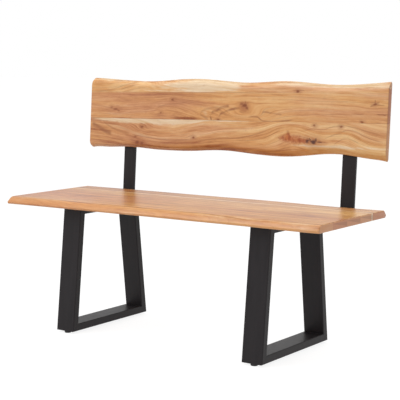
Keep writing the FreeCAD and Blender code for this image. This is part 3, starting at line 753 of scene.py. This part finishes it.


# Figures of the boards, in millimetres along the bench and across the plank:
# seed shifts the grain, pith is the log's middle (depth, across and its tilt per metre), ring the
# spacing of its lines, liveliness a factor on the contrast, end the colour of the end grain.
# tones and hues are spread evenly along the board; a hue of 0 is rosy and of 1 warm.
# A mark in pale, red, knots, pits or cracks is its place along and across, half length, half height and
# strength. In shades, a lift of the tone and one of the hue stand instead of the strength.
# A band of painted light and shade goes by the distance from the seat's top or the backrest's rear:
# where it starts, where it is full, its lifts of the tone along the board, and its lift of the hue.
# A swell is a mark that ends with the rise of the grain there, an eye with how far the grain parts.
# A trace is a path of places along and across, its width and its strength.

# Backrest
back_figures = {
    "back_top_board": {
        "seed": 1, "pith": (70, 210, 6), "liveliness": 0.9,
        "tones": (0.1, 0.12, 0.1, 0.1, 0.17, 0.17, 0.15),
        "hues": (1, 1, 0.9, 0.7, 0.8, 0.9, 0.8),
        # The first two shades darken the up-facing top bevel, which gets more light from above: painted
        # shade.
        "shades": [(330, 402, 300, 9, -0.1, -0.8), (480, 390, 200, 10, -0.26, -0.7),
                   (-600, 388, 50, 16, -0.2, 0.0), (70, 388, 40, 8, -0.2, 0.0)],
        # The band darkens the rear of the board's thickness, where the up-facing rim lies behind the
        # crest: painted shade.
        "painted_light_and_shade": [(19, 11, (-0.5, -0.34, -0.3, -0.3, -0.3, -0.34), 0.0)],
        # Pale marks at 390 and above lie on the top bevel: partly sapwood, partly a painted highlight
        # where the bevel catches light.
        "pale": [(-105, 386, 110, 24, 1.4), (5, 377, 55, 10, 0.8), (-300, 364, 110, 3, 0.7),
                 (-440, 403, 160, 9, 0.8), (300, 402, 260, 9, 0.85), (540, 403, 120, 10, 0.7),
                 (560, 391, 140, 8, 0.6), (370, 391, 190, 9, 0.7), (-200, 386, 90, 14, 0.7),
                 (-300, 380, 100, 18, 0.5), (10, 394, 80, 10, 0.8), (-280, 411, 340, 9, 0.9),
                 (-140, 367, 80, 7, 0.9), (-560, 405, 70, 8, 0.7)],
        "knots": [(272, 371, 7, 5, 1.0)],
        "swells": [(-400, 395, 120, 40, 26), (-60, 400, 80, 24, 14)],
        "eyes": [(272, 371, 45, 14, 0.8)],
        "traces": [([(-620, 357), (-545, 364), (-505, 374), (-455, 388), (-415, 396)], 3, 0.35),
                   ([(-500, 366), (-455, 376), (-415, 389)], 3, 0.3),
                   ([(265, 372), (285, 376), (300, 372)], 2, 0.4)],
    },
    "back_middle_board": {
        "seed": 2, "pith": (90, 190, -18), "liveliness": 0.85,
        "tones": (-0.07, -0.08, -0.06, 0.07, 0.06, 0.07, 0.07),
        "hues": (0.1, 0.1, 0.35, 1.1, 1.0, 0.6, 0.5),
        "shades": [(-10, 284, 110, 18, -0.18, 0.4), (-600, 280, 60, 16, -0.12, 0.0),
                   (420, 284, 160, 14, -0.08, 0.0), (95, 300, 50, 22, -0.12, 0.1)],
        "pale": [(-104, 287, 13, 14, 0.5), (-84, 301, 20, 5, 0.4), (-250, 296, 40, 8, 0.3)],
        "red": [(-190, 268, 74, 9, 1.3), (563, 335, 26, 11, 0.45), (-515, 293, 40, 14, 0.4)],
        "knots": [(60, 320, 9, 7, 1.0), (-252, 333, 7, 4, 0.9), (-517, 292, 10, 5, 0.75),
                  (-538, 299, 8, 5, 0.5), (-503, 287, 7, 4, 0.6), (-304, 284, 6, 3.5, 0.6),
                  (-50, 267, 7, 4, 0.85), (563, 335, 7, 4, 0.9), (520, 276, 6, 4, 0.85)],
        "cracks": [(62, 329, 2.5, 9, 0.6), (562, 342, 2.5, 9, 0.55), (48, 324, 9, 3.5, 0.6),
                   (69, 311, 7, 6, 0.7), (505, 302, 20, 1.6, 0.7), (592, 303, 24, 2.2, 0.85),
                   (-186, 268, 60, 5, 0.85), (-228, 266, 22, 4, 0.7), (585, 333, 18, 1.6, 0.4)],
        "swells": [(65, 282, 150, 24, -34), (-250, 300, 90, 40, 16)],
        "eyes": [(59, 321, 55, 18, 0.8), (-252, 333, 40, 10, 0.8), (563, 335, 50, 14, 0.8),
                 (-517, 292, 45, 16, 0.7)],
        "traces": [([(-84, 278), (-75, 293), (-58, 299), (-39, 308), (-2, 316)], 6, 0.75),
                   ([(-85, 280), (-81, 270), (-76, 264)], 6, 0.75),
                   ([(-132, 287), (-112, 298), (-84, 306), (-40, 311)], 5, 0.28),
                   ([(-132, 286), (-114, 276), (-92, 268)], 5, 0.35),
                   ([(-50, 266), (-47, 277), (-42, 286), (-29, 292), (-9, 301), (16, 307),
                     (45, 310)], 4.5, 0.75),
                   ([(546, 328), (563, 335)], 3, 0.6), ([(563, 335), (580, 343)], 3, 0.6),
                   ([(563, 335), (600, 334)], 2, 0.4), ([(40, 329), (60, 320)], 4, 0.6),
                   ([(60, 320), (76, 331)], 3, 0.4), ([(44, 312), (60, 320)], 3, 0.4),
                   ([(60, 320), (77, 305)], 4, 0.7),
                   ([(128, 289), (142, 299), (171, 296), (191, 294), (216, 292)], 3, 0.5),
                   ([(72, 281), (106, 282), (123, 276), (148, 267), (180, 267), (221, 271),
                     (265, 276)], 3, 0.6),
                   ([(-330, 290), (-317, 304), (-289, 312), (-257, 316), (-184, 325)], 2.2, 0.35),
                   ([(-628, 305), (-589, 302), (-548, 295), (-499, 291)], 2, 0.3)],
    },
    "back_bottom_board": {
        "seed": 3, "pith": (80, 40, 12), "ring": 6.5, "end": srgb(194, 132, 88),
        "tones": (-0.12, -0.12, -0.03, 0.04, 0.1, 0.15, 0.14),
        "hues": (0.5, 0.3, 0.4, 0.6, 0.8, 0.9, 0.8),
        # The first shade darkens and warms the downward-facing lower bevel: painted shade.
        "shades": [(70, 158, 330, 27, -0.5, 0.6), (-340, 255, 240, 12, 0.2, 0.0),
                   (10, 246, 100, 12, 0.22, 0.3), (566, 236, 70, 34, -0.2, -0.2),
                   (-592, 222, 56, 14, -0.26, -0.1), (-250, 225, 130, 18, 0.14, 0.3),
                   (520, 186, 130, 16, 0.1, 0.2), (-470, 180, 160, 30, -0.06, -0.2)],
        "pale": [(-375, 254, 230, 13, 2.0), (-220, 259, 120, 7, 1.4), (-560, 254, 60, 4, 0.7),
                 (-80, 263, 110, 3.5, 0.9), (30, 264, 70, 3, 0.8), (470, 191, 190, 7, 0.8),
                 (330, 191, 80, 4, 0.6)],
        "red": [(258, 211, 54, 22, 1.45), (298, 206, 34, 13, 0.9), (330, 206, 30, 12, 0.8),
                (240, 227, 13, 16, 0.9), (222, 212, 28, 14, 0.6), (-398, 170, 40, 14, 1.0)],
        "knots": [(-388, 230, 7, 4.5, 0.85), (-421, 191, 7, 3.5, 0.7), (-408, 171, 10, 7, 0.9),
                  (-386, 169, 9, 6, 0.8), (-156, 200, 7, 4.5, 0.95), (343, 260, 6, 4, 0.8),
                  (441, 259, 6, 4, 0.85), (318, 207, 9, 9, 0.8), (342, 205, 17, 10, 0.8),
                  (365, 206, 12, 4, 0.7)],
        "pits": [(316, 206, 6, 6, 0.9), (326, 211, 3, 7, 0.8), (341, 204, 12, 7, 1.0),
                 (350, 211, 5, 6, 0.8), (366, 205, 7, 2.5, 0.6)],
        "cracks": [(240, 232, 6, 8, 0.35), (381, 205, 7, 1.6, 0.5)],
        "swells": [(-300, 205, 190, 70, -38), (262, 235, 100, 60, 46), (450, 235, 85, 60, 34)],
        "eyes": [(-388, 230, 50, 16, 0.7), (-156, 200, 40, 12, 0.8), (335, 205, 50, 14, 0.8),
                 (343, 260, 30, 9, 0.7), (441, 259, 30, 9, 0.7)],
        "traces": [([(-445, 202), (-368, 193), (-273, 187), (-200, 189), (-155, 199)], 2.2, 0.5),
                   ([(-148, 190), (-92, 195), (-26, 202), (34, 205), (76, 213), (130, 227),
                     (174, 247)], 2.2, 0.5),
                   ([(26, 197), (89, 199), (152, 213), (192, 232), (219, 247)], 2, 0.35),
                   ([(-636, 236), (-600, 223), (-564, 208), (-529, 200)], 8, 0.65),
                   ([(-581, 246), (-550, 230), (-505, 213), (-445, 202)], 4, 0.4),
                   ([(-570, 244), (-500, 226), (-440, 211), (-380, 198), (-330, 191)], 5, 0.25),
                   ([(281, 225), (304, 241), (343, 248), (375, 247), (401, 255), (447, 262),
                     (485, 259), (534, 248), (608, 235)], 2, 0.4),
                   ([(373, 211), (403, 226), (441, 238), (474, 248), (524, 234), (580, 217),
                     (608, 212)], 2, 0.35),
                   ([(416, 196), (438, 211), (461, 220), (487, 216), (518, 201)], 2, 0.35)],
    },
}

# Glue lines of the backrest, read from the middle board
seat = SeatPlank()
back = BackPlank(seat.top)
middle_points = back.local(node_points("back_middle_board"))
front_corners = line_at(middle_points, -back.thick)
half = (front_corners[:, 1].min() + front_corners[:, 1].max()) / 2
lower_seam = front_corners[front_corners[:, 1] < half]
upper_seam = front_corners[front_corners[:, 1] >= half]

# Each board's seams, the sign of its live edge and its round corner
back_boards = (
    ("back_top_board", [upper_seam], 1, BACK_CORNER),
    ("back_middle_board", [lower_seam, upper_seam], 0, 0.0),
    ("back_bottom_board", [lower_seam], -1, BACK_CORNER),
)
for node, seams, live, corner in back_boards:
    figure = back_figures[node]
    made = board(node, back, seams, live, BACK_RADII, figure, corner)
    made.data.materials.append(wood(node + "_wood", palettes["back_wood"], figure))

# Seat
seat_figures = {
    "seat_front_stave": {
        "seed": 4, "pith": (-90, -60, 10), "end": srgb(206, 146, 102),
        "tones": (-0.02, -0.02, 0.0, 0.02, 0.02, -0.04), "hues": (0.5, 0.7, 0.8, 0.8, 0.7, 0.8),
        "shades": [(0, -225, 700, 22, 0.08, 0.0), (585, -228, 60, 14, 0.12, -0.1),
                   (-605, -232, 45, 16, 0.12, -0.1)],
        # The first band lightens the upper arris where the top rolls over: a painted highlight. The
        # second, on the lower lip, is darker at the left end and painted bounce light from the floor
        # towards the right.
        "painted_light_and_shade": [(0.3, 2, (0.25, 0.2, 0.24, 0.28, 0.24, 0.12, 0.1, 0.2, 0.3), -0.6),
                  (10, 20, (-0.15, -0.12, -0.05, 0.42, 0.5), -0.2)],
        # Pale marks on the front edge are partly sapwood, partly a painted highlight on the rolled
        # arris.
        "pale": [(380, -200, 240, 8, 0.5), (570, -206, 70, 14, 0.4), (-90, -224, 110, 14, 0.5),
                 (-590, -212, 60, 10, 0.3)],
    },
    "seat_front_inner_stave": {
        "seed": 5, "pith": (-80, -200, -14), "end": srgb(200, 132, 92),
        "tones": (-0.2, -0.06, 0.08, -0.06, 0.02, 0.02), "hues": (0.3, 0.4, 0.6, 0.7, 0.6, 0.5),
        # The second shade reddens the seat where the left upright's reflection falls: a painted
        # reflection.
        "shades": [(-588, -52, 45, 12, -0.3, -0.2), (-205, -80, 45, 26, -0.04, -0.5),
                   (-415, -54, 80, 14, -0.36, -0.2), (470, -55, 70, 14, -0.26, -0.2),
                   (248, -64, 60, 16, -0.26, -0.2)],
        "red": [(130, -48, 130, 7, 1.1), (-120, -90, 150, 5, 0.8)],
        "knots": [(140, -66, 8, 5, 0.6), (-200, -96, 6, 4, 0.5)],
        "eyes": [(140, -66, 50, 14, 0.8)],
    },
    "seat_centre_stave": {
        "seed": 6, "pith": (-80, 120, 12),
        "tones": (-0.12, -0.02, 0.0, 0.03, 0.04, 0.05), "hues": (0.3, 0.4, 0.7, 1.0, 1.0, 1.0),
        "shades": [(-588, -38, 45, 10, -0.26, -0.2), (-410, -32, 80, 14, -0.36, -0.2),
                   (-165, -2, 60, 12, -0.26, -0.2), (480, -32, 60, 12, -0.26, -0.2)],
        "red": [(180, 20, 140, 6, 0.8)],
        "knots": [(300, 4, 7, 5, 0.6)],
        "eyes": [(300, 4, 60, 18, 0.8)],
    },
    "seat_rear_inner_stave": {
        "seed": 7, "pith": (-90, 10, -10), "end": srgb(206, 144, 102),
        "tones": (-0.1, 0.02, -0.02, -0.03, 0.12, 0.2), "hues": (0.9, 0.9, 1.1, 1.1, 1.2, 1.2),
        # The shade lightens and reddens the seat where the right upright's reflection falls: painted
        # light in that reflection.
        "shades": [(565, 75, 45, 40, 0.1, -0.5)],
        "pale": [(0, 121, 900, 8, 0.9), (640, 122, 40, 3.5, 1.0)],
    },
    "seat_rear_stave": {
        "seed": 8, "pith": (-90, 320, 8), "end": srgb(196, 128, 90),
        "tones": (-0.2, -0.13, -0.18, 0.0, 0.18, 0.05), "hues": (0.7, 0.7, 0.8, 0.9, 1.0, 0.8),
        # The second shade lightens and reddens the seat where the right upright's reflection falls:
        # painted light in that reflection.
        "shades": [(0, 205, 900, 26, -0.14, 0.0), (510, 165, 40, 25, 0.05, -0.4)],
        "pale": [(-300, 200, 240, 10, 0.5)],
        "knots": [(-90, 165, 6, 5, 0.6)],
        "eyes": [(-90, 165, 50, 16, 0.8)],
    },
}
# Sign of the live edge of the outer staves
live_staves = {"seat_front_stave": -1, "seat_rear_stave": 1}


def level_line(across):
    """Straight seam along the seat."""
    low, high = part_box("seat_centre_stave")
    return np.array(((low.x, across - seat.middle), (high.x, across - seat.middle)))


for node, figure in seat_figures.items():
    low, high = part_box(node)
    live = live_staves.get(node, 0)
    joined = {-1: (high.y,), 0: (low.y, high.y), 1: (low.y,)}[live]
    seams = [level_line(across) for across in joined]
    made = board(node, seat, seams, live, FRONT_RADII if live < 0 else REAR_RADII, figure)
    made.data.materials.append(wood(node + "_wood", palettes["seat_wood"], figure))

# Studio: a pale floor that keeps the shadow, soft lights and a white surround
WHITE = (1, 1, 1, 1)
SURROUND_LIGHT = 0.55
FLOOR_COLOUR = (0.82, 0.82, 0.82, 1)
FLOOR_REACH = 30.0
FLOOR_GLOW = 1.25
FLOOR_VEIL = 0.7
# Softboxes: place, point they are aimed at, size and power
SOFTBOXES = {
    "key": ((-1.6, -2.6, 3.2), (0, 0, 0.5), 2.6, 70),
    "top": ((0.6, 0.4, 3.4), (0, 0, 0.4), 2.4, 45),
}
# Camera at the photo's viewing angle; lens and sensor in millimetres, tilt and turn in degrees
LENS = 108.26
SENSOR = 36.0
CAMERA_PLACE = (2.3629, -3.2875, 0.9662)
CAMERA_TILT = 82.996
CAMERA_TURN = 35.435


def seen_directly(tree):
    """1 for rays from the camera and for mirrored or refracted ones, 0 for the rest."""
    path = tree.nodes.new("ShaderNodeLightPath")
    total = path.outputs["Is Camera Ray"]
    for name in ("Is Glossy Ray", "Is Transmission Ray"):
        both = tree.nodes.new("ShaderNodeMath")
        both.operation = "MAXIMUM"
        tree.links.new(total, both.inputs[0])
        tree.links.new(path.outputs[name], both.inputs[1])
        total = both.outputs[0]
    return total


def make_world():
    """White surround, dimmer as a light than it is seen."""
    world = bpy.data.worlds.new("studio")
    bpy.context.scene.world = world
    world.use_nodes = True
    tree = world.node_tree
    background = tree.nodes["Background"]
    background.inputs["Color"].default_value = WHITE
    strength = tree.nodes.new("ShaderNodeMapRange")
    strength.inputs["To Min"].default_value = SURROUND_LIGHT
    strength.inputs["To Max"].default_value = 1.0
    tree.links.new(seen_directly(tree), strength.inputs["Value"])
    tree.links.new(strength.outputs[0], background.inputs["Strength"])


def make_floor():
    """Pale floor with a bright veil where it is seen directly, clear from below."""
    graph = Graph("studio_floor")
    tree = graph.tree
    graph.set(Base_Color=FLOOR_COLOUR, Roughness=0.9, Specular_IOR_Level=0.0)
    glow = tree.nodes.new("ShaderNodeEmission")
    glow.inputs["Strength"].default_value = FLOOR_GLOW
    veiled = tree.nodes.new("ShaderNodeMixShader")
    tree.links.new(graph.math("MULTIPLY", seen_directly(tree), FLOOR_VEIL), veiled.inputs[0])
    tree.links.new(graph.shader.outputs[0], veiled.inputs[1])
    tree.links.new(glow.outputs[0], veiled.inputs[2])
    clear = tree.nodes.new("ShaderNodeBsdfTransparent")
    sided = tree.nodes.new("ShaderNodeMixShader")
    geometry = tree.nodes.new("ShaderNodeNewGeometry")
    tree.links.new(geometry.outputs["Backfacing"], sided.inputs[0])
    tree.links.new(veiled.outputs[0], sided.inputs[1])
    tree.links.new(clear.outputs[0], sided.inputs[2])
    tree.links.new(sided.outputs[0], tree.nodes["Material Output"].inputs["Surface"])
    mesh = bpy.data.meshes.new("studio_floor")
    signs = ((-1, -1), (1, -1), (1, 1), (-1, 1))
    corners = [(x * FLOOR_REACH, y * FLOOR_REACH, 0) for x, y in signs]
    mesh.from_pydata(corners, [], [(0, 1, 2, 3)])
    mesh.materials.append(graph.material)
    floor = bpy.data.objects.new("studio_floor", mesh)
    bpy.context.scene.collection.objects.link(floor)


def make_light(name, place, target, size, power):
    """Square softbox aimed at a point."""
    lamp = bpy.data.lights.new(name, "AREA")
    lamp.size = size
    lamp.energy = power
    light = bpy.data.objects.new(name, lamp)
    light.location = place
    aim = Vector(target) - Vector(place)
    light.rotation_euler = aim.to_track_quat("-Z", "Y").to_euler()
    bpy.context.scene.collection.objects.link(light)


def make_camera():
    """Camera of the main view."""
    lens = bpy.data.cameras.new("camera")
    lens.sensor_width = SENSOR
    lens.lens = LENS
    camera = bpy.data.objects.new("camera", lens)
    camera.location = CAMERA_PLACE
    camera.rotation_euler = (math.radians(CAMERA_TILT), 0.0, math.radians(CAMERA_TURN))
    bpy.context.scene.collection.objects.link(camera)
    bpy.context.scene.camera = camera


make_world()
make_floor()
for name, softbox in SOFTBOXES.items():
    make_light(name, *softbox)
make_camera()
bpy.context.scene.view_settings.view_transform = "Standard"
